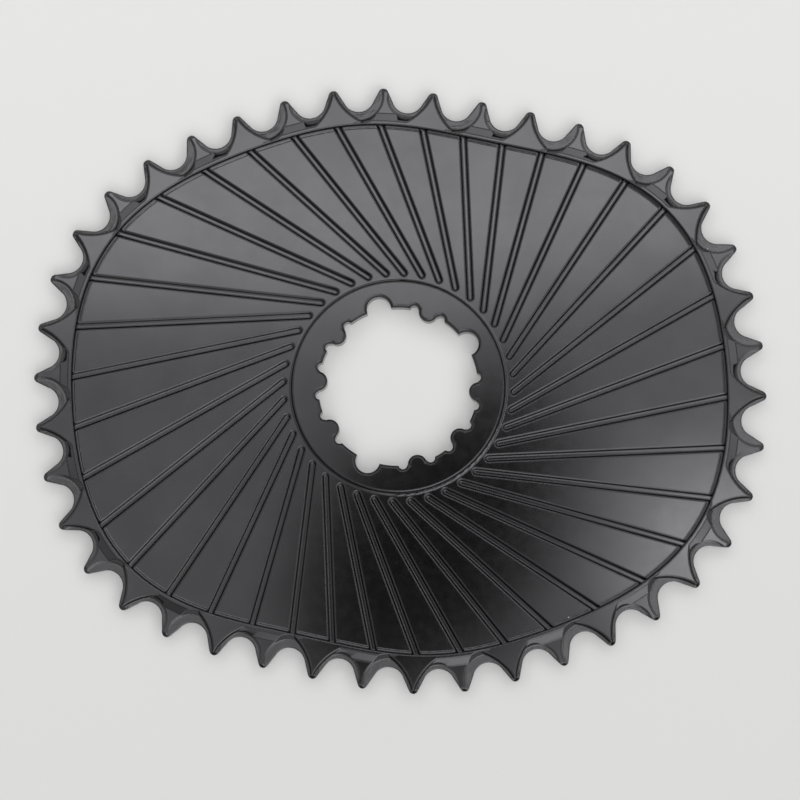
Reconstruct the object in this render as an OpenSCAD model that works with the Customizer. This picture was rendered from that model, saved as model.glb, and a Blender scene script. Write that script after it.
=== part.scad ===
// Oval narrow-wide chainring, milled from one plate, for a crank with a lobed direct mount.
// It lies on its back face at z = 0, its front face up, with the crank axis along z.

/* [Chain] */
// Number of teeth, even because wide and narrow teeth take turns
teeth = 42; // [36:2:50]
// Chain pitch, from roller to roller
pitch = 12.7; // [12.5:0.1:13]
// Radius of the round seat that a chain roller drops into
seat_r = 4.05; // [3.9:0.05:4.3]

/* [Oval] */
// How far the pitch curve swells along its long axis and shrinks along its short one
stretch = 9.03; // [0:0.5:10]
// Where the long axis of that swell points, in degrees
stretch_turn = -1; // [-20:1:20]
// Four-fold swell, which squares the shoulders of the oval
shoulder = 1.08; // [0:0.1:1.5]
// Where the four-fold swell points, in degrees
shoulder_turn = 37.6; // [0:0.5:90]
// Six-fold swell, which makes one side of each long end fall away faster
skew = 1.34; // [0:0.1:1.6]
// Where the six-fold swell points, in degrees
skew_turn = -25.1; // [-60:0.5:60]
// Where the first roller seat sits, in degrees
first_seat = 2.4; // [-4:0.1:4]

/* [Teeth] */
// Height of a tooth tip over the line between its two rollers
tip_h = 2.4; // [2:0.1:2.6]
// Radius of a tooth tip, seen from the front
tip_r = 1.15; // [0.9:0.05:1.3]
// How far the bevel of a tip reaches down the tooth
tip_bevel = 0.9; // [0.6:0.1:1.2]
// How far that bevel cuts into each face of a tip
tip_bevel_depth = 0.7; // [0.4:0.1:0.8]
// Height of the pad of a wide tooth over the line between its rollers
pad_h = 1.45; // [1:0.05:1.6]
// Radius of the hollow sides of that pad, at its face
pad_side_r = 14.5; // [12:0.5:20]
// How far those sides spread from the face of the pad down to the thinned band
pad_side_lean = 0.4; // [0.1:0.05:0.6]
// Distance from the pitch curve in to where the faces begin to slope down to the teeth
ramp_start = 6.6; // [6:0.1:7]
// Distance from the pitch curve in to where that slope ends, below the roller seats
ramp_end = 4.6; // [4.4:0.1:5.2]
// Radius of the deep scallop round the roller seat before a narrow tooth
scallop_r = 6.2; // [5.6:0.1:6.4]
// Radius of the shallow scallop round the seat after it
shallow_scallop_r = 5.1; // [4.8:0.1:5.4]
// Depth of the deep scallop
scallop_depth = 0.25; // [0.1:0.05:0.4]
// Depth of the shallow scallop
shallow_scallop_depth = 0.15; // [0.05:0.05:0.3]

/* [Plate] */
// Thickness of the rim and of the wide teeth
rim_t = 3.8; // [3.6:0.1:4.2]
// Thickness of the narrow teeth
narrow_t = 2; // [1.9:0.1:2.4]
// Distance from the pitch curve in to the edge of the rim
rim_reach = 7.5; // [7:0.1:9]
// Thickness of the recessed web
web_t = 2.7; // [2.4:0.1:3]
// Radius of the cove between the rim and the web
cove_r = 1; // [0.5:0.05:1]

/* [Swirl grooves] */
// Number of grooves
grooves = 40; // [20:1:42]
// Distance at which the grooves' centre lines pass the crank axis
groove_offset = 19.25; // [16:0.25:21]
// Direction from the axis to the nearest point of the first groove's line, in degrees
groove_start = 2.5; // [0:0.5:9]
// Radius at which a groove starts, at the middle of its round end
groove_foot = 29.2; // [29:0.1:31]
// Width of a groove at the face of the web
groove_w = 2; // [1.4:0.1:2.2]
// Width of its flat floor
groove_floor = 0.8; // [0.4:0.1:1.2]
// Depth of a groove
groove_depth = 0.6; // [0.3:0.05:0.8]
// Distance from the edge of the rim to the end wall of a groove
groove_gap = 0.15; // [0.05:0.05:0.5]

/* [Hub] */
// Thickness of the hub boss
boss_t = 4.2; // [4:0.1:5]
// Radius of its flat face
boss_r = 27; // [26.5:0.1:27.3]
// Bevel round the edge of that face
boss_bevel = 0.3; // [0.1:0.05:0.5]
// Radius of the cove at its foot
boss_cove_r = 0.7; // [0.3:0.05:0.9]

/* [Crank opening] */
// Places round the opening, each with a lobe or a bolt notch
places = 10; // [10:1:10]
// Direction of the first place, in degrees
first_place = 32; // [0:1:35]
// Places that hold a bolt notch and no lobe
notch_places = [0, 2, 6];
// Radius of the lands between the places
land_r = 20.2; // [20:0.1:20.6]
// Radius of a lobe
lobe_r = 2.4; // [2.1:0.1:2.6]
// Distance from the axis to the middle of a lobe
lobe_at = 20.4; // [20.2:0.1:20.8]
// Radius of the relief beside a lobe
relief_r = 1.1; // [0.8:0.1:1.2]
// Distance from the axis to the middle of a relief
relief_at = 20; // [19.8:0.1:20.3]
// Angle between the middle of a lobe and the middle of its relief
relief_turn = 10.4; // [10:0.1:11]
// Radius of a bolt notch
notch_r = 3.1; // [2.8:0.1:3.4]
// Distance from the axis to the middle of a bolt notch
notch_at = 20.4; // [20.2:0.1:20.8]
// Bevel round the edges of the opening
opening_bevel = 0.55; // [0.3:0.05:0.7]

/* [Hidden] */
$fn = 96;
over = 1;
near_tangent = 0.02;
past = 0.05;
tip_steps = 6;
cove_steps = 5;
oval_steps = 4 * teeth;
half_pitch = pitch / 2;
thin_depth = (rim_t - narrow_t) / 2;

// Swell of the pitch curve over its mean radius, and how fast it changes per radian
function swell(a) =
    stretch * cos(2 * (a - stretch_turn))
    + shoulder * cos(4 * (a - shoulder_turn))
    + skew * cos(6 * (a - skew_turn));
function swell_rate(a) =
    -2 * stretch * sin(2 * (a - stretch_turn))
    - 4 * shoulder * sin(4 * (a - shoulder_turn))
    - 6 * skew * sin(6 * (a - skew_turn));

function on_curve(a, mean) = (mean + swell(a)) * [cos(a), sin(a)];

// The angle from one roller to the next, found by scaling a guess until the chord is one pitch
function roller_step(a, mean, guess, rounds) =
    rounds == 0
        ? guess
        : roller_step(a, mean, guess * pitch / norm(on_curve(a + guess, mean) - on_curve(a, mean)), rounds - 1);
function next_roller(a, mean) = a + roller_step(a, mean, 360 / teeth, 8);
function last_roller(a, mean, left) = left == 0 ? a : last_roller(next_roller(a, mean), mean, left - 1);

// The mean radius at which the chain closes on itself after one turn
function closing_radius(mean, rounds) =
    rounds == 0
        ? mean
        : closing_radius(mean * (last_roller(first_seat, mean, teeth) - first_seat) / 360, rounds - 1);
mean_r = closing_radius(half_pitch / sin(180 / teeth), 8);

rollers = [for (i = 0, a = first_seat; i < teeth; i = i + 1, a = next_roller(a, mean_r)) on_curve(a, mean_r)];

// A point of the oval that lies a distance inside the pitch curve
function oval_point(a, inside) =
    let (r = mean_r + swell(a))
    let (along = [swell_rate(a) * cos(a) - r * sin(a), swell_rate(a) * sin(a) + r * cos(a)])
    r * [cos(a), sin(a)] + inside * [-along.y, along.x] / norm(along);
function oval(inside) = [for (i = [0:oval_steps - 1]) oval_point(360 * i / oval_steps, inside)];

// A tooth has its own frame: x along the line between its two rollers, y outwards
function along(i) = (rollers[(i + 1) % teeth] - rollers[i]) / pitch;
function tooth_to_ring(i, p) =
    (rollers[i] + rollers[(i + 1) % teeth]) / 2 + p.x * along(i) + p.y * [along(i).y, -along(i).x];

// The straight flank touches the tip's circle and, all but, the roller seat's
tip_centre_h = tip_h - tip_r;
flank = 90 - atan(tip_centre_h / half_pitch)
    - asin((seat_r - near_tangent + tip_r) / norm([half_pitch, tip_centre_h]));
function around(r, a) = r * [cos(a), sin(a)];
tooth_outline = [
    [-half_pitch, 0] + around(seat_r - near_tangent, -flank),
    for (i = [0:tip_steps]) [0, tip_centre_h] + around(tip_r, 180 - flank - (180 - 2 * flank) * i / tip_steps),
    [half_pitch, 0] - around(seat_r - near_tangent, flank)
];

// Centre of the arc through p and q that bows away from the outside of the ring
function arc_centre(p, q, r) =
    let (d = q - p)
    (p + q) / 2 + [-d.y, d.x] / norm(d) * sqrt(r * r - d * d / 4);
pad_foot = (rim_reach + ramp_start) / 2;
pad_side = arc_centre([0, pad_h], [half_pitch, -pad_foot], pad_side_r);
pad_lean_rate = pad_side_lean / thin_depth;

module at_tooth(i) {
    mid = tooth_to_ring(i, [0, 0]);
    translate([mid.x, mid.y, 0])
        rotate([0, 0, atan2(along(i).y, along(i).x)])
            mirror([0, 1, 0])
                children();
}

module teeth_profile() {
    difference() {
        polygon([for (i = [0:teeth - 1]) for (p = tooth_outline) tooth_to_ring(i, p)]);
        for (p = rollers)
            translate(p)
                circle(r = seat_r);
    }
}

// The rim, whose two faces slope down to the thickness of the narrow teeth
module rim() {
    slope_run = (ramp_start - ramp_end) / thin_depth * past;
    translate([0, 0, -2 * past])
        linear_extrude(rim_t + 4 * past)
            polygon(oval(ramp_start));
    swept_ring([
        [ramp_start + near_tangent, near_tangent],
        [ramp_end - slope_run, thin_depth + past],
        [ramp_end - slope_run, rim_t - thin_depth - past],
        [ramp_start + near_tangent, rim_t - near_tangent],
        [ramp_start + over, rim_t / 2]
    ]);
}

// Relief that a cutter leaves in the front face as it goes round a roller seat
module scallop(r, depth) {
    translate([0, 0, rim_t - thin_depth - depth])
        cylinder(h = rim_t, r1 = r, r2 = r + rim_t);
}

module scallops() {
    for (i = [0:teeth - 1])
        translate(rollers[i])
            if (i % 2 == 1)
                scallop(scallop_r, scallop_depth);
            else
                scallop(shallow_scallop_r, shallow_scallop_depth);
}

// The pads of a wide tooth, which run past both faces. Their hollow sides lean away from the faces
module wide_pads() {
    root = scallop_depth + past;
    tall = root + thin_depth + past;
    for (face = [0, 1])
        translate([0, 0, rim_t / 2])
            mirror([0, 0, face])
                translate([0, 0, narrow_t / 2 - root])
                    difference() {
                        translate([-half_pitch - over, -pad_foot, 0])
                            cube([pitch + 2 * over, pad_foot + pad_h + over, tall]);
                        for (side = [-1, 1])
                            translate([side * pad_side.x, pad_side.y, -past])
                                cylinder(
                                    h = tall + 2 * past,
                                    r1 = pad_side_r - pad_lean_rate * tall,
                                    r2 = pad_side_r + pad_lean_rate * 2 * past
                                );
                    }
}

// The rim and every tooth, faced off flat on both sides
module toothed_plate() {
    intersection() {
        cylinder(h = rim_t, r = 2 * mean_r);
        union() {
            difference() {
                union() {
                    translate([0, 0, thin_depth])
                        linear_extrude(narrow_t)
                            teeth_profile();
                    rim();
                }
                scallops();
            }
            for (i = [1:2:teeth - 1])
                at_tooth(i)
                    wide_pads();
        }
    }
}

// Bevel on both faces of a tip, as a wedge laid across it
module tip_bevels() {
    slope = tip_bevel_depth / tip_bevel;
    start = tip_h - tip_bevel - near_tangent;
    end = tip_h + over;
    for (i = [0:teeth - 1])
        at_tooth(i)
            for (face = [0, 1])
                translate([-tip_r - over, 0, rim_t / 2])
                    mirror([0, 0, face])
                        translate([0, 0, narrow_t / 2])
                            rotate([90, 0, 90])
                                linear_extrude(2 * (tip_r + over))
                                    polygon([
                                        [start, slope * near_tangent],
                                        [end, -slope * (tip_bevel + over)],
                                        [end, over],
                                        [start, over]
                                    ]);
}

// A closed section of [distance inside the pitch curve, height], swept round the oval
module swept_ring(section) {
    corners = len(section);
    polyhedron(
        points = [for (c = section) for (p = oval(c.x)) [p.x, p.y, c.y]],
        faces = [
            for (k = [0:corners - 1])
                for (i = [0:oval_steps - 1])
                    let (up = (k + 1) % corners, j = (i + 1) % oval_steps)
                    [k * oval_steps + i, up * oval_steps + i, up * oval_steps + j, k * oval_steps + j]
        ]
    );
}

// The recess of the web: a flat floor, and a quarter-round cove round the edge of the rim
module web_recess() {
    r = min(cove_r, rim_t - web_t - near_tangent);
    translate([0, 0, web_t])
        linear_extrude(rim_t - web_t + over)
            polygon(oval(rim_reach + r));
    swept_ring([
        for (i = [0:cove_steps])
            [rim_reach + r * (1 - sin(90 * i / cove_steps)), web_t + r * (1 - cos(90 * i / cove_steps))],
        [rim_reach, rim_t + over / 2],
        [rim_reach + r + over, rim_t + over / 2],
        [rim_reach + r + over, web_t + over / 2]
    ]);
}

module boss() {
    r = min(boss_cove_r, boss_t - boss_bevel - web_t - near_tangent);
    foot_r = boss_r + r;
    rotate_extrude()
        difference() {
            polygon([
                [0, 0],
                [foot_r, 0],
                [foot_r, web_t + r],
                [boss_r, web_t + r],
                [boss_r, boss_t - boss_bevel],
                [boss_r - boss_bevel, boss_t],
                [0, boss_t]
            ]);
            translate([foot_r, web_t + r])
                circle(r = r);
        }
}

// Straight grooves that pass the axis at one distance and run into the wall of the rim
module swirl_grooves() {
    start = sqrt(groove_foot * groove_foot - groove_offset * groove_offset);
    for (i = [0:grooves - 1])
        intersection() {
            rotate([0, 0, groove_start + 360 * i / grooves])
                translate([groove_offset, start, web_t - groove_depth])
                    groove(mean_r + stretch + shoulder + skew);
            linear_extrude(rim_t + 2 * over)
                polygon(oval(rim_reach + groove_gap));
        }
}

// A groove with a flat floor, sloped walls and a round foot, open at its far end
module groove(length) {
    slope = (groove_w - groove_floor) / 2 / groove_depth;
    half_floor = groove_floor / 2;
    half_top = groove_w / 2 + slope * past;
    shoulder_h = groove_depth + past;
    top = rim_t - web_t + groove_depth + over;
    rotate([90, 0, 180])
        linear_extrude(length)
            polygon([
                [-half_floor, 0],
                [half_floor, 0],
                [half_top, shoulder_h],
                [half_top, top],
                [-half_top, top],
                [-half_top, shoulder_h]
            ]);
    rotate_extrude()
        polygon([
            [0, 0],
            [half_floor - near_tangent, 0],
            [half_top - near_tangent, shoulder_h],
            [half_top - near_tangent, top],
            [0, top]
        ]);
}

// The crank opening, grown by some amount at its lower and at its upper end
module opening(height, grow_low, grow_high) {
    difference() {
        union() {
            cylinder(h = height, r1 = land_r + grow_low, r2 = land_r + grow_high);
            for (k = [0:places - 1])
                rotate([0, 0, first_place + 360 * k / places])
                    if (has_notch(k))
                        translate([notch_at, 0, 0])
                            cylinder(h = height, r1 = notch_r + grow_low, r2 = notch_r + grow_high);
                    else
                        for (side = [-1, 1])
                            rotate([0, 0, side * relief_turn])
                                translate([relief_at, 0, 0])
                                    cylinder(h = height, r1 = relief_r + grow_low, r2 = relief_r + grow_high);
        }
        for (k = [0:places - 1])
            if (!has_notch(k))
                rotate([0, 0, first_place + 360 * k / places])
                    translate([lobe_at, 0, 0])
                        cylinder(h = height, r1 = lobe_r - grow_low, r2 = lobe_r - grow_high);
    }
}

function has_notch(k) = len(search(k, notch_places)) > 0;

module chainring() {
    color([0.1, 0.1, 0.11])
        difference() {
            union() {
                difference() {
                    toothed_plate();
                    web_recess();
                }
                boss();
            }
            swirl_grooves();
            tip_bevels();
            translate([0, 0, -over])
                opening(boss_t + 2 * over, 0, 0);
            translate([0, 0, boss_t - opening_bevel])
                opening(opening_bevel + over, 0, opening_bevel + over);
        }
}

chainring();
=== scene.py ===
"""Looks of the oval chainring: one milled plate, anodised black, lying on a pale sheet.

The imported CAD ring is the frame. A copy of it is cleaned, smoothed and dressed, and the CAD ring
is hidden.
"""

import logging
import math
from dataclasses import dataclass, field
from enum import Enum
from functools import reduce

import bmesh
import bpy
from mathutils import Matrix, Vector


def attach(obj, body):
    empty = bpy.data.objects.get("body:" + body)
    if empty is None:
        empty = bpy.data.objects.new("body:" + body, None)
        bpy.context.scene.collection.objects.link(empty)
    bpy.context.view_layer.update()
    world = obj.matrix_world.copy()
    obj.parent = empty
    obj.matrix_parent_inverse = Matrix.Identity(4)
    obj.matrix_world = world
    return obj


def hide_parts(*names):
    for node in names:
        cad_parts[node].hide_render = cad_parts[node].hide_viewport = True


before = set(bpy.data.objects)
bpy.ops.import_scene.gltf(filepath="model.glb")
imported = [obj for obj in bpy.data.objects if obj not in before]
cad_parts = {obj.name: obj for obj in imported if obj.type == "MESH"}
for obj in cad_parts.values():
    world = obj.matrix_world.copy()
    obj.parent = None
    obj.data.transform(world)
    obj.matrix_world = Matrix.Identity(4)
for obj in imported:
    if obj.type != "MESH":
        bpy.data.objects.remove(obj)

LOG = logging.getLogger("chainring")
MM = 0.001
RING_NODE = "chainring"


class Tone(Enum):
    """Plain colours of the finishes, as linear red, green and blue."""

    ANODISED = (0.058, 0.058, 0.0605)
    # Lighter tone that worn edges and milled faces go towards; on the edges it is partly wear and
    # partly a painted highlight.
    WORN_AND_HIGHLIGHT = (0.110, 0.110, 0.112)
    DUST = (0.55, 0.54, 0.52)
    SHEET = (0.73, 0.73, 0.725)


class Space(Enum):
    """Where a texture takes its place from."""

    OBJECT = "Object"
    WORLD_DIRECTION = "Generated"


class Mark(Enum):
    """Names of what the ring's faces carry for its finish."""

    SEAT_CENTRE = "seat_centre"
    MILLED = "milled"


@dataclass(frozen=True)
class Rise:
    """A smooth step from one value to another.

    Args:
        start: where the step begins.
        end: where it ends.
        low: the value before it.
        high: the value after it.
    """

    start: float
    end: float
    low: float = 0.0
    high: float = 1.0


@dataclass
class Nodes:
    """A thin hand on a node tree, which adds and joins its nodes.

    Args:
        tree: the node tree that is worked on.
    """

    tree: bpy.types.NodeTree

    def add(self, kind: str, **settings: object) -> bpy.types.Node:
        """Adds one node.

        Args:
            kind: the node's type.
            settings: attributes of the node, such as operation.

        Returns:
            The new node.
        """
        node = self.tree.nodes.new(kind)
        for name, value in settings.items():
            setattr(node, name, value)
        return node

    def join(self, source: bpy.types.NodeSocket, target: bpy.types.NodeSocket) -> None:
        """Joins an output to an input."""
        self.tree.links.new(source, target)

    def feed(self, target: bpy.types.NodeSocket, value: object) -> None:
        """Sets an input, or joins it when the value is an output.

        Args:
            target: the input socket.
            value: a number, a tuple or another node's output.
        """
        if isinstance(value, bpy.types.NodeSocket):
            self.join(value, target)
        else:
            target.default_value = value

    def math(self, operation: str, *values: object) -> bpy.types.NodeSocket:
        """Adds a Math node.

        Args:
            operation: its operation.
            values: numbers or outputs, in the order of its inputs.

        Returns:
            The node's result.
        """
        node = self.add("ShaderNodeMath", operation=operation)
        for socket, value in zip(node.inputs, values):
            self.feed(socket, value)
        return node.outputs[0]

    def product(self, *values: object) -> bpy.types.NodeSocket:
        """Multiplies numbers or outputs, of which at least one is an output."""
        return reduce(lambda first, second: self.math("MULTIPLY", first, second), values)

    def total(self, *values: object) -> bpy.types.NodeSocket:
        """Adds numbers or outputs, of which at least one is an output."""
        return reduce(lambda first, second: self.math("ADD", first, second), values)

    def rest_of(self, share: bpy.types.NodeSocket) -> bpy.types.NodeSocket:
        """Returns what a share leaves of 1."""
        return self.math("SUBTRACT", 1.0, share)

    def step(self, value: bpy.types.NodeSocket, rise: Rise) -> bpy.types.NodeSocket:
        """Adds a smooth step.

        Args:
            value: what is measured.
            rise: the step.

        Returns:
            The stepped value.
        """
        node = self.add("ShaderNodeMapRange", interpolation_type="SMOOTHSTEP")
        for name, number in (
            ("From Min", rise.start),
            ("From Max", rise.end),
            ("To Min", rise.low),
            ("To Max", rise.high),
        ):
            node.inputs[name].default_value = number
        self.join(value, node.inputs["Value"])
        return node.outputs["Result"]

    def noise(
        self, place: bpy.types.NodeSocket, size: float, detail: float = 2.0, rough: float = 0.5
    ) -> bpy.types.NodeSocket:
        """Adds a noise texture.

        Args:
            place: the coordinates it reads.
            size: size of its patches, in metres.
            detail: octaves.
            rough: how strong the finer octaves are.

        Returns:
            The noise, about 0.5 in the middle.
        """
        node = self.add("ShaderNodeTexNoise")
        node.inputs["Scale"].default_value = 1.0 / size
        node.inputs["Detail"].default_value = detail
        node.inputs["Roughness"].default_value = rough
        self.join(place, node.inputs["Vector"])
        return node.outputs["Fac"]

    def blend(self, amount: object, first: object, second: object) -> bpy.types.NodeSocket:
        """Mixes two colours.

        Args:
            amount: 0 gives the first colour and 1 the second.
            first: a colour or an output.
            second: a colour or an output.

        Returns:
            The mixed colour.
        """
        node = self.add("ShaderNodeMix", data_type="RGBA")
        self.feed(node.inputs["Factor"], amount)
        first_colour, second_colour = (s for s in node.inputs if s.identifier.endswith("_Color"))
        for socket, value in ((first_colour, first), (second_colour, second)):
            self.feed(socket, value if isinstance(value, bpy.types.NodeSocket) else (*value, 1.0))
        return next(s for s in node.outputs if s.identifier.endswith("_Color"))

    def bump(
        self, height: bpy.types.NodeSocket, normal: bpy.types.NodeSocket, distance: float
    ) -> bpy.types.NodeSocket:
        """Adds a Bump node at full strength.

        Args:
            height: the relief.
            normal: the normal that it stands on.
            distance: the relief's height in metres where the height is 1.

        Returns:
            The bumped normal.
        """
        node = self.add("ShaderNodeBump")
        node.inputs["Strength"].default_value = 1.0
        node.inputs["Distance"].default_value = distance
        self.join(height, node.inputs["Height"])
        self.join(normal, node.inputs["Normal"])
        return node.outputs["Normal"]


def shade(tone: Tone, share: float) -> tuple[float, ...]:
    """Returns a tone made darker or lighter by a share."""
    return tuple(share * part for part in tone.value)


def object_place(nodes: Nodes) -> bpy.types.NodeSocket:
    """Returns the coordinates of a point on the piece, in metres."""
    return nodes.add("ShaderNodeTexCoord").outputs[Space.OBJECT.value]


@dataclass(frozen=True)
class DustGroup:
    """Small pale specks that lie here and there on a face.

    Args:
        cell: distance between places where a speck may lie, in metres.
        reach: radius of the largest speck, in cells.
        bare: share of the places that hold none.
    """

    cell: float = 9.0 * MM
    reach: float = 0.028
    bare: float = 0.72

    def build(self) -> bpy.types.NodeTree:
        """Builds the group.

        Returns:
            A node group that puts out the mask of the specks.
        """
        tree = bpy.data.node_groups.new("dust_specks", "ShaderNodeTree")
        tree.interface.new_socket("Place", in_out="INPUT", socket_type="NodeSocketVector")
        tree.interface.new_socket("Mask", in_out="OUTPUT", socket_type="NodeSocketFloat")
        nodes = Nodes(tree)
        place = nodes.add("NodeGroupInput").outputs["Place"]
        cells = nodes.add("ShaderNodeTexVoronoi", feature="F1")
        cells.inputs["Scale"].default_value = 1.0 / self.cell
        nodes.join(place, cells.inputs["Vector"])
        chance = nodes.add("ShaderNodeSeparateColor")
        nodes.join(cells.outputs["Color"], chance.inputs["Color"])
        chosen = nodes.math("GREATER_THAN", chance.outputs["Red"], self.bare)
        size = nodes.product(chance.outputs["Green"], self.reach)
        near = nodes.math("LESS_THAN", cells.outputs["Distance"], size)
        nodes.join(nodes.product(chosen, near), nodes.add("NodeGroupOutput").inputs["Mask"])
        return tree


@dataclass(frozen=True)
class EdgeGroup:
    """Softened edges, and a mask of where they are.

    Args:
        radius: how far an edge is rounded, in metres.
        samples: how many directions the rounding is felt in.
        turned: how far the normal is turned where the mask sets in, and where it is full.
    """

    radius: float = 0.50 * MM
    samples: int = 12
    turned: Rise = Rise(0.99, 0.8)

    def build(self) -> bpy.types.NodeTree:
        """Builds the group.

        Returns:
            A node group that puts out the rounded normal and the mask of the edges.
        """
        tree = bpy.data.node_groups.new("soft_edges", "ShaderNodeTree")
        tree.interface.new_socket("Normal", in_out="OUTPUT", socket_type="NodeSocketVector")
        tree.interface.new_socket("Mask", in_out="OUTPUT", socket_type="NodeSocketFloat")
        nodes = Nodes(tree)
        rounded = nodes.add("ShaderNodeBevel", samples=self.samples)
        rounded.inputs["Radius"].default_value = self.radius
        flat = nodes.add("ShaderNodeNewGeometry")
        likeness = nodes.add("ShaderNodeVectorMath", operation="DOT_PRODUCT")
        nodes.join(rounded.outputs["Normal"], likeness.inputs[0])
        nodes.join(flat.outputs["Normal"], likeness.inputs[1])
        mask = nodes.step(likeness.outputs["Value"], self.turned)
        result = nodes.add("NodeGroupOutput")
        nodes.join(rounded.outputs["Normal"], result.inputs["Normal"])
        nodes.join(mask, result.inputs["Mask"])
        return tree


@dataclass(frozen=True)
class CutterMarks:
    """Rings that a cutter leaves round the roller seats: fine marks on broad, shallow waves.

    Args:
        gap: distance between the fine marks, in metres.
        depth: depth of the fine marks, in metres.
        sweep_gap: distance between the broad waves, in metres.
        sweep_depth: depth of the broad waves, in metres.
        wobble_size: size of the patches in which the rings stray, in metres.
        wobble: how far they stray, as a share of the gap.
        fade_size: size of the patches in which the rings fade, in metres.
        fade: the noise between which they are gone and full.
    """

    gap: float = 0.62 * MM
    depth: float = 0.003 * MM
    sweep_gap: float = 2.6 * MM
    sweep_depth: float = 0.020 * MM
    wobble_size: float = 1.6 * MM
    wobble: float = 0.5
    fade_size: float = 3.0 * MM
    fade: Rise = Rise(0.35, 0.65)

    def height(
        self, nodes: Nodes, place: bpy.types.NodeSocket, milled: bpy.types.NodeSocket
    ) -> bpy.types.NodeSocket:
        """Works out the relief of the marks.

        Args:
            nodes: the material's tree.
            place: coordinates on the piece.
            milled: 1 on the faces that carry marks, and 0 elsewhere.

        Returns:
            The height of the marks in metres, 0 away from the milled faces.
        """
        centre = nodes.add("ShaderNodeAttribute", attribute_name=Mark.SEAT_CENTRE.value)
        flat = nodes.add("ShaderNodeVectorMath", operation="MULTIPLY")
        nodes.join(place, flat.inputs[0])
        flat.inputs[1].default_value = (1.0, 1.0, 0.0)
        away = nodes.add("ShaderNodeVectorMath", operation="DISTANCE")
        nodes.join(flat.outputs["Vector"], away.inputs[0])
        nodes.join(centre.outputs["Vector"], away.inputs[1])

        stray = nodes.product(nodes.noise(place, self.wobble_size), self.wobble * self.gap)
        run = nodes.total(away.outputs["Value"], stray)
        strength = nodes.step(nodes.noise(place, self.fade_size), self.fade)
        waves = [
            nodes.product(nodes.math("SINE", nodes.product(run, 2 * math.pi / gap)), depth)
            for gap, depth in ((self.gap, self.depth), (self.sweep_gap, self.sweep_depth))
        ]
        return nodes.product(nodes.total(*waves), strength, milled)


@dataclass(frozen=True)
class AnodisedAluminium:
    """Black anodised aluminium: a satin face with a fine grain, softened edges lightened partly by
    wear and partly by a painted highlight, and a little dust.

    Args:
        gloss: roughness of the clean face.
        smear_size: size of the smears in its gloss, in metres.
        smear: what the smears add to the roughness, by their noise.
        patch_size: size of the patches in which the tone drifts, in metres.
        patch: the noise between which the tone goes from darker to lighter.
        patch_contrast: how far the tone drifts either way, as a share of it.
        edge_wear_and_highlight: how far the edges go towards the lighter tone, partly wear and
            partly a painted highlight.
        milled_tone: how far the milled faces go towards that tone.
        milled_gloss: how much rougher the milled faces are.
        dust_roughness: roughness of the specks of dust.
        grain_size: size of the fine grain, in metres.
        grain_depth: height of the fine grain, in metres.
        marks: the cutter's marks on the milled faces.
    """

    gloss: float = 0.085
    smear_size: float = 2.5 * MM
    smear: Rise = Rise(0.3, 0.75, -0.006, 0.010)
    patch_size: float = 14.0 * MM
    patch: Rise = Rise(0.3, 0.7)
    patch_contrast: float = 0.06
    edge_wear_and_highlight: float = 0.35
    milled_tone: float = 0.35
    milled_gloss: float = 0.13
    dust_roughness: float = 0.9
    grain_size: float = 0.30 * MM
    grain_depth: float = 0.0014 * MM
    marks: CutterMarks = CutterMarks()

    def build(self, edges: bpy.types.NodeTree, dust: bpy.types.NodeTree) -> bpy.types.Material:
        """Builds the material.

        Args:
            edges: the group that softens edges.
            dust: the group of the specks.

        Returns:
            The finished material.
        """
        material = bpy.data.materials.new("black_anodised_aluminium")
        material.use_nodes = True
        nodes = Nodes(material.node_tree)
        shader = material.node_tree.nodes["Principled BSDF"]
        place = object_place(nodes)
        edge = nodes.add("ShaderNodeGroup", node_tree=edges)
        specks = nodes.add("ShaderNodeGroup", node_tree=dust)
        nodes.join(place, specks.inputs["Place"])
        speck = specks.outputs["Mask"]
        milled = nodes.add("ShaderNodeAttribute", attribute_name=Mark.MILLED.value).outputs["Fac"]

        drift = nodes.step(nodes.noise(place, self.patch_size, detail=3.0, rough=0.55), self.patch)
        tone = nodes.blend(
            drift,
            shade(Tone.ANODISED, 1.0 - self.patch_contrast),
            shade(Tone.ANODISED, 1.0 + self.patch_contrast),
        )
        # Edges are lightened, partly as wear and partly as a painted highlight; milled faces take
        # the lighter tone too.
        worn_and_highlight = nodes.math(
            "MAXIMUM",
            nodes.product(edge.outputs["Mask"], self.edge_wear_and_highlight),
            nodes.product(milled, self.milled_tone),
        )
        tone = nodes.blend(worn_and_highlight, tone, Tone.WORN_AND_HIGHLIGHT.value)
        nodes.join(nodes.blend(speck, tone, Tone.DUST.value), shader.inputs["Base Color"])
        nodes.join(nodes.rest_of(speck), shader.inputs["Metallic"])

        smear = nodes.step(nodes.noise(place, self.smear_size, detail=4.0, rough=0.6), self.smear)
        rough = nodes.total(smear, self.gloss, nodes.product(milled, self.milled_gloss))
        rough = nodes.math("MAXIMUM", rough, nodes.product(speck, self.dust_roughness))
        nodes.join(rough, shader.inputs["Roughness"])

        grain = nodes.noise(place, self.grain_size, detail=3.0, rough=0.65)
        normal = nodes.bump(grain, edge.outputs["Normal"], self.grain_depth)
        normal = nodes.bump(self.marks.height(nodes, place, milled), normal, 1.0)
        nodes.join(normal, shader.inputs["Normal"])
        return material


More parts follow.
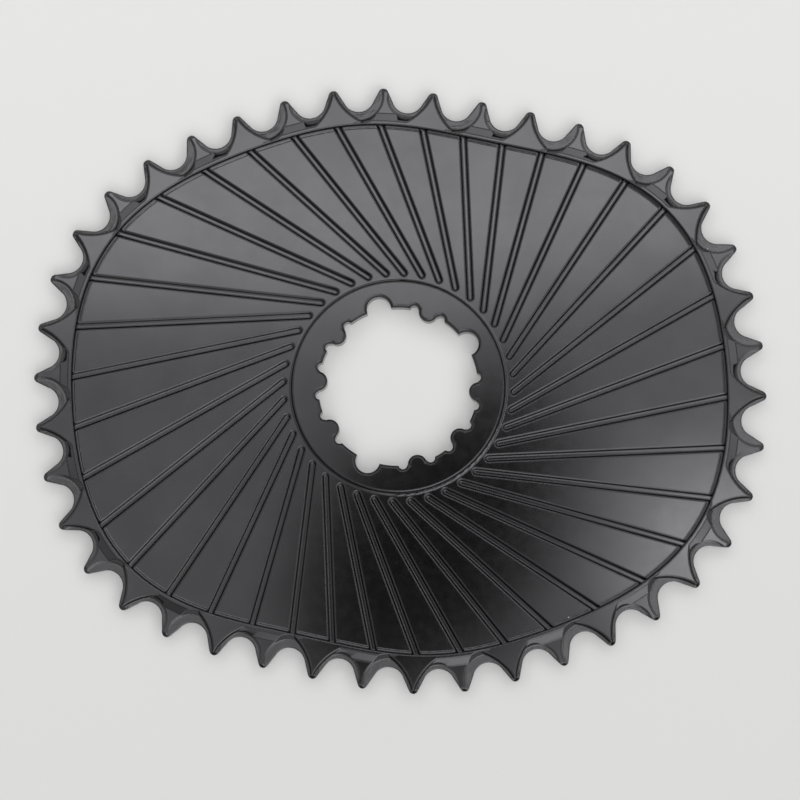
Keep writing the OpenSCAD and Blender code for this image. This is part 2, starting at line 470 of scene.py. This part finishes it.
@dataclass(frozen=True)
class PitchCurve:
    """The oval on which a chain's rollers lie, as a mean radius with swells of 2, 4 and 6 lobes.

    Args:
        mean: mean radius, in metres.
        swells: lobes, height in metres and direction in degrees of each swell.
        pitch: distance between rollers, in metres.
        teeth: number of rollers.
        first: direction of the first roller, in degrees.
        tries: how often each step along the curve is corrected.
    """

    mean: float = 83.78 * MM
    swells: tuple[tuple[int, float, float], ...] = (
        (2, 9.03 * MM, -1.0),
        (4, 1.08 * MM, 37.6),
        (6, 1.34 * MM, -25.1),
    )
    pitch: float = 12.7 * MM
    teeth: int = 42
    first: float = 2.4
    tries: int = 6

    def point(self, angle: float) -> Vector:
        """Returns the curve's point in a direction given in degrees."""
        radius = self.mean
        for lobes, height, turn in self.swells:
            radius += height * math.cos(math.radians(lobes * (angle - turn)))
        return radius * Vector((math.cos(math.radians(angle)), math.sin(math.radians(angle)), 0.0))

    def rollers(self) -> list[Vector]:
        """Walks the curve one pitch at a time.

        Returns:
            The middles of all rollers.
        """
        angle = self.first
        found = []
        for _ in range(self.teeth):
            here = self.point(angle)
            found.append(here)
            step = 360.0 / self.teeth
            for _ in range(self.tries):
                step *= self.pitch / (self.point(angle + step) - here).length
            angle += step
        return found


@dataclass
class Chainring:
    """The ring itself: a clean copy of the CAD node, with soft shading and its finish.

    Args:
        weld: distance within which the CAD mesh's points are merged, in metres.
        smooth_angle: the sharpest corner that is shaded smooth, in radians.
        scallop_levels: heights of the milled floors round the roller seats, in metres.
        level_slack: how far from those heights a face may lie, in metres.
        level_normal: how upright a face's normal is where the face counts as level.
        upward: how upright it is where the face counts as a floor.
        finish: what the ring is finished in.
    """

    weld: float = 0.0005 * MM
    smooth_angle: float = math.radians(24.0)
    scallop_levels: tuple[float, float] = (2.65 * MM, 2.75 * MM)
    level_slack: float = 0.02 * MM
    level_normal: float = 0.99999
    upward: float = 0.9
    finish: AnodisedAluminium = field(default_factory=AnodisedAluminium)

    def build(self) -> bpy.types.Object:
        """Builds and dresses the ring.

        Returns:
            The finished piece, riding on the only body.
        """
        piece = self.copy_of_node()
        self.clean(piece)
        self.dress(piece)
        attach(piece, "root")
        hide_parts(RING_NODE)
        return piece

    def copy_of_node(self) -> bpy.types.Object:
        """Copies the CAD node into a piece of its own."""
        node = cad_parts[RING_NODE]
        piece = bpy.data.objects.new("milled_ring", node.data.copy())
        bpy.context.scene.collection.objects.link(piece)
        piece.data.materials.clear()
        return piece

    def clean(self, piece: bpy.types.Object) -> None:
        """Merges the copy's loose triangles and shades its shallow corners smooth.

        Args:
            piece: the copy.
        """
        bpy.ops.object.select_all(action="DESELECT")
        piece.select_set(True)
        bpy.context.view_layer.objects.active = piece
        bpy.ops.object.mode_set(mode="EDIT")
        bpy.ops.mesh.select_all(action="SELECT")
        bpy.ops.mesh.remove_doubles(threshold=self.weld)
        bpy.ops.mesh.customdata_custom_splitnormals_clear()
        bpy.ops.mesh.select_all(action="DESELECT")
        bpy.ops.object.mode_set(mode="OBJECT")
        bpy.ops.object.shade_smooth_by_angle(angle=self.smooth_angle)
        piece.select_set(False)
        self.keep_flats_flat(piece)

    def keep_flats_flat(self, piece: bpy.types.Object) -> None:
        """Marks the borders of the level faces sharp, so that no shading leaks across them.

        Args:
            piece: the copy, already merged.
        """
        work = bmesh.new()
        work.from_mesh(piece.data)
        for edge in work.edges:
            levels = [abs(face.normal.z) > self.level_normal for face in edge.link_faces]
            if any(levels) and not all(levels):
                edge.smooth = False
        work.to_mesh(piece.data)
        work.free()

    def dress(self, piece: bpy.types.Object) -> None:
        """Gives the ring its finish.

        Args:
            piece: the cleaned copy.
        """
        self.mark_milled_faces(piece)
        piece.data.materials.append(self.finish.build(EdgeGroup().build(), DustGroup().build()))

    def mark_milled_faces(self, piece: bpy.types.Object) -> None:
        """Writes the nearest roller seat's centre on each face that the cutter left round it.

        Args:
            piece: the cleaned copy.
        """
        mesh = piece.data
        milled = mesh.attributes.new(Mark.MILLED.value, "FLOAT", "FACE")
        centre = mesh.attributes.new(Mark.SEAT_CENTRE.value, "FLOAT_VECTOR", "FACE")
        rollers = PitchCurve().rollers()
        for face in mesh.polygons:
            away = min(abs(face.center.z - level) for level in self.scallop_levels)
            if face.normal.z < self.upward or away > self.level_slack:
                continue
            place = Vector((face.center.x, face.center.y, 0.0))
            milled.data[face.index].value = 1.0
            centre.data[face.index].vector = min(rollers, key=lambda p: (p - place).length)


@dataclass
class CameraRig:
    """The camera, where it stood for the photograph.

    Args:
        place: its place in the ring's frame, in metres.
        tilt: its turn from looking straight down, as an axis times an angle in radians.
        focal_length: in millimetres.
        sensor: width of the sensor, in millimetres.
        nearest: how near it sees, in metres.
        farthest: how far it sees, in metres.
    """

    place: Vector = field(default_factory=lambda: Vector((24.39, -82.18, 662.12)) * MM)
    tilt: Vector = field(default_factory=lambda: Vector((0.1189, 0.0361, 0.0)))
    focal_length: float = 118.06
    sensor: float = 36.0
    nearest: float = 0.01
    farthest: float = 50.0

    def build(self) -> bpy.types.Object:
        """Sets the camera up.

        Returns:
            The camera, which is made the scene's own.
        """
        data = bpy.data.cameras.new("photo_camera")
        data.lens = self.focal_length
        data.sensor_width = self.sensor
        data.clip_start = self.nearest
        data.clip_end = self.farthest
        data.dof.use_dof = False
        camera = bpy.data.objects.new("photo_camera", data)
        bpy.context.scene.collection.objects.link(camera)
        turn = Matrix.Rotation(self.tilt.length, 4, self.tilt.normalized())
        camera.matrix_world = Matrix.Translation(self.place) @ turn
        bpy.context.scene.camera = camera
        return camera


@dataclass(frozen=True)
class Spot:
    """A soft oval patch of light or shade, by the slopes of the direction to it.

    Args:
        across: slope of its middle towards the right of the ring.
        along: slope of its middle towards the ring's top.
        half_width: half its width, in slopes.
        half_height: half its height, in slopes.
        edge: the shares of its reach between which it fades.
        strength: how strong it is.
    """

    across: float
    along: float
    half_width: float
    half_height: float
    edge: Rise
    strength: float = 1.0

    def light(
        self, nodes: Nodes, across: bpy.types.NodeSocket, along: bpy.types.NodeSocket
    ) -> bpy.types.NodeSocket:
        """Builds the patch.

        Args:
            nodes: the world's tree.
            across: slope towards the right of the ring.
            along: slope towards its top.

        Returns:
            The strength in the patch, and 0 outside.
        """
        squares = []
        for value, middle, half in (
            (across, self.across, self.half_width),
            (along, self.along, self.half_height),
        ):
            away = nodes.math("DIVIDE", nodes.math("SUBTRACT", value, middle), half)
            squares.append(nodes.product(away, away))
        distance = nodes.math("SQRT", nodes.total(*squares))
        return nodes.product(nodes.step(distance, self.edge), self.strength)


@dataclass(frozen=True)
class Ceiling:
    """The pale ceiling over the ring, with a softbox beyond it, a lamp and a dark place.

    Args:
        strength: brightness of the whole ceiling.
        end: slopes between which the ceiling ends.
        sides: its brightness from left to right, by the slope across.
        softbox: how much brighter the softbox is.
        softbox_edge: slopes along between which the softbox sets in.
        softbox_lean: how much farther it sets in towards the right.
        far_end: how it dims at its far end, by the slope along.
        lamp: the lamp on the right.
        dark: the dark place over the ring's middle.
        dark_lean: how far the dark place leans to the right, for each step along.
        dark_level: share of the light that is left in the dark place.
    """

    strength: float = 1.81
    end: Rise = Rise(0.27, 0.33, 1.0, 0.0)
    sides: Rise = Rise(0.0, 0.07, 0.66, 0.82)
    softbox: float = 1.18
    softbox_edge: Rise = Rise(0.135, 0.180)
    softbox_lean: float = 0.25
    far_end: Rise = Rise(0.20, 0.26, 1.0, 0.78)
    lamp: Spot = Spot(0.087, 0.058, 0.040, 0.044, Rise(0.4, 1.3, 1.0, 0.0), 1.8)
    dark: Spot = Spot(-0.024, 0.066, 0.052, 0.068, Rise(0.60, 1.35, 1.0, 0.0))
    dark_lean: float = 0.35
    dark_level: float = 0.03

    def light(
        self, nodes: Nodes, across: bpy.types.NodeSocket, along: bpy.types.NodeSocket
    ) -> bpy.types.NodeSocket:
        """Builds the ceiling.

        Args:
            nodes: the world's tree.
            across: slope towards the right of the ring.
            along: slope towards its top.

        Returns:
            The ceiling's brightness, before it ends.
        """
        right = nodes.math("MAXIMUM", across, 0.0)
        edge = nodes.math("SUBTRACT", along, nodes.product(right, self.softbox_lean))
        softbox = nodes.product(nodes.step(edge, self.softbox_edge), self.softbox)
        level = nodes.total(nodes.step(across, self.sides), softbox)
        lean = nodes.product(nodes.math("SUBTRACT", along, self.dark.along), self.dark_lean)
        dark = self.dark.light(nodes, nodes.math("SUBTRACT", across, lean), along)
        left = nodes.step(dark, Rise(0.0, 1.0, 1.0, self.dark_level))
        level = nodes.product(level, nodes.step(along, self.far_end), left)
        level = nodes.total(level, self.lamp.light(nodes, across, along))
        return nodes.product(level, self.strength)


@dataclass(frozen=True)
class Walls:
    """The pale upper part of the room's walls, with a bright doorway in front of the ring.

    Args:
        strength: brightness of the walls, on the average of all sides.
        beyond: how much brighter they are beyond the ring's top, as a share.
        right: how much brighter they are to its right, as a share.
        start: slopes between which the walls set in.
        end: slopes between which they end.
        doorway: how much brighter the doorway is.
        doorway_side: its direction, as parts to the right and towards the front.
        doorway_edge: how near to that direction it sets in, and is full.
        doorway_end: slopes between which it ends.
    """

    strength: float = 1.2
    beyond: float = 0.6
    right: float = 0.25
    start: Rise = Rise(0.75, 0.98)
    end: Rise = Rise(2.0, 2.5, 1.0, 0.0)
    doorway: float = 2.0
    doorway_side: tuple[float, float] = (0.42, 0.91)
    doorway_edge: Rise = Rise(0.55, 0.95)
    doorway_end: Rise = Rise(1.8, 3.2, 1.0, 0.0)

    def light(
        self,
        nodes: Nodes,
        across: bpy.types.NodeSocket,
        along: bpy.types.NodeSocket,
        slope: bpy.types.NodeSocket,
    ) -> bpy.types.NodeSocket:
        """Builds the walls.

        Args:
            nodes: the world's tree.
            across: slope towards the right of the ring.
            along: slope towards its top.
            slope: slope away from straight up.

        Returns:
            The brightness that the walls add.
        """
        beyond = nodes.math("DIVIDE", along, slope)
        right = nodes.math("DIVIDE", across, slope)
        share = nodes.total(
            nodes.product(beyond, self.beyond), nodes.product(right, self.right), 1.0
        )
        walls = nodes.product(share, self.strength, nodes.step(slope, self.end))
        rightward, frontward = self.doorway_side
        toward = nodes.math(
            "SUBTRACT", nodes.product(right, rightward), nodes.product(beyond, frontward)
        )
        doorway = nodes.product(
            nodes.step(toward, self.doorway_edge),
            nodes.step(slope, self.doorway_end),
            self.doorway,
        )
        return nodes.product(nodes.total(walls, doorway), nodes.step(slope, self.start))


@dataclass(frozen=True)
class Room:
    """The soft light of a room round the ring, by the direction that it comes from.

    Args:
        ceiling: what hangs over the ring.
        walls: the walls' upper part.
        window: the window behind the camera.
        air: plain brightness round the ceiling, by the slope away from straight up.
        horizon: brightness of the pale backdrop that stands all round, low down.
        horizon_top: heights between which the backdrop ends.
        lowest: the least height of a direction, so that slopes stay finite.
    """

    ceiling: Ceiling = Ceiling()
    walls: Walls = Walls()
    window: Spot = Spot(0.15, -0.43, 0.26, 0.26, Rise(0.5, 1.2, 1.0, 0.0), 3.2)
    air: Rise = Rise(0.75, 0.95, 0.34, 0.102)
    horizon: float = 0.78
    horizon_top: Rise = Rise(0.17, 0.24)
    lowest: float = 0.001

    def build(self) -> bpy.types.World:
        """Builds the world.

        Returns:
            The world, which is made the scene's own.
        """
        world = bpy.data.worlds.new("room")
        bpy.context.scene.world = world
        world.use_nodes = True
        world.node_tree.nodes.clear()
        nodes = Nodes(world.node_tree)
        direction = nodes.add("ShaderNodeSeparateXYZ")
        source = nodes.add("ShaderNodeTexCoord").outputs[Space.WORLD_DIRECTION.value]
        nodes.join(source, direction.inputs[0])
        up = nodes.math("MAXIMUM", direction.outputs["Z"], self.lowest)
        across = nodes.math("DIVIDE", direction.outputs["X"], up)
        along = nodes.math("DIVIDE", direction.outputs["Y"], up)
        squares = nodes.total(nodes.product(across, across), nodes.product(along, along))
        slope = nodes.math("SQRT", squares)

        over = nodes.step(slope, self.ceiling.end)
        round_it = nodes.total(
            self.window.light(nodes, across, along),
            nodes.step(slope, self.air),
            self.walls.light(nodes, across, along, slope),
        )
        level = nodes.total(
            nodes.product(self.ceiling.light(nodes, across, along), over),
            nodes.product(round_it, nodes.rest_of(over)),
        )
        above = nodes.step(up, self.horizon_top)
        level = nodes.total(
            nodes.product(level, above), nodes.product(nodes.rest_of(above), self.horizon)
        )

        lit = nodes.add("ShaderNodeBackground")
        lit.inputs["Color"].default_value = (1.0, 1.0, 1.0, 1.0)
        nodes.join(level, lit.inputs["Strength"])
        nodes.join(lit.outputs[0], nodes.add("ShaderNodeOutputWorld").inputs["Surface"])
        return world


@dataclass(frozen=True)
class PaleSheet:
    """The pale sheet that the ring lies on.

    Args:
        half: half the side of the sheet, in metres.
        painted_front_shade: its tone at the front, as a share of its tone beyond the ring; a painted
            shade, darker towards the front.
        fade: places along the ring between which the tone changes, in metres.
        roughness: roughness of the sheet.
        specular: how much of a sheen it has.
        glow: share of its paleness that is seen whatever the light.
    """

    half: float = 3.0
    painted_front_shade: float = 0.90
    fade: Rise = Rise(-0.11, 0.11)
    roughness: float = 0.9
    specular: float = 0.1
    glow: float = 0.25

    def build(self) -> bpy.types.Object:
        """Lays the sheet down, at the height that the ring rests on.

        Returns:
            The sheet, which isn't part of the ring.
        """
        bpy.ops.object.select_all(action="DESELECT")
        bpy.ops.mesh.primitive_plane_add(size=2 * self.half, location=(0, 0, 0))
        sheet = bpy.context.active_object
        sheet.name = "sheet"
        sheet.data.materials.append(self.paper())
        return sheet

    def paper(self) -> bpy.types.Material:
        """Builds the sheet's material.

        Returns:
            A matt material, part of which the camera, gloss and glass see at its own tone.
        """
        material = bpy.data.materials.new("pale_sheet")
        material.use_nodes = True
        nodes = Nodes(material.node_tree)
        shader = material.node_tree.nodes["Principled BSDF"]
        shader.inputs["Roughness"].default_value = self.roughness
        shader.inputs["Specular IOR Level"].default_value = self.specular
        place = nodes.add("ShaderNodeSeparateXYZ")
        nodes.join(object_place(nodes), place.inputs[0])
        # Painted shade: the sheet is painted darker towards the front.
        fade = nodes.step(place.outputs["Y"], self.fade)
        tone = nodes.blend(fade, shade(Tone.SHEET, self.painted_front_shade), Tone.SHEET.value)
        nodes.join(tone, shader.inputs["Base Color"])
        glow = nodes.add("ShaderNodeEmission")
        nodes.join(tone, glow.inputs["Color"])

        path = nodes.add("ShaderNodeLightPath").outputs
        seen = nodes.math("MAXIMUM", path["Is Camera Ray"], path["Is Glossy Ray"])
        seen = nodes.math("MAXIMUM", seen, path["Is Transmission Ray"])
        both = nodes.add("ShaderNodeMixShader")
        nodes.join(nodes.product(seen, self.glow), both.inputs[0])
        nodes.join(shader.outputs[0], both.inputs[1])
        nodes.join(glow.outputs[0], both.inputs[2])
        nodes.join(both.outputs[0], material.node_tree.nodes["Material Output"].inputs["Surface"])
        return material


def main() -> None:
    """Builds the scene in order and reports each piece."""
    logging.basicConfig(level=logging.INFO, format="%(name)s: %(message)s")
    bpy.context.scene.view_settings.view_transform = "Standard"
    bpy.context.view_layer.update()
    LOG.info("camera at %s", tuple(CameraRig().build().location))
    ring = Chainring().build()
    LOG.info("%s has %d faces", ring.name, len(ring.data.polygons))
    LOG.info("%s is lit", Room().build().name)
    LOG.info("%s is laid", PaleSheet().build().name)


if __name__ == "__main__":
    main()
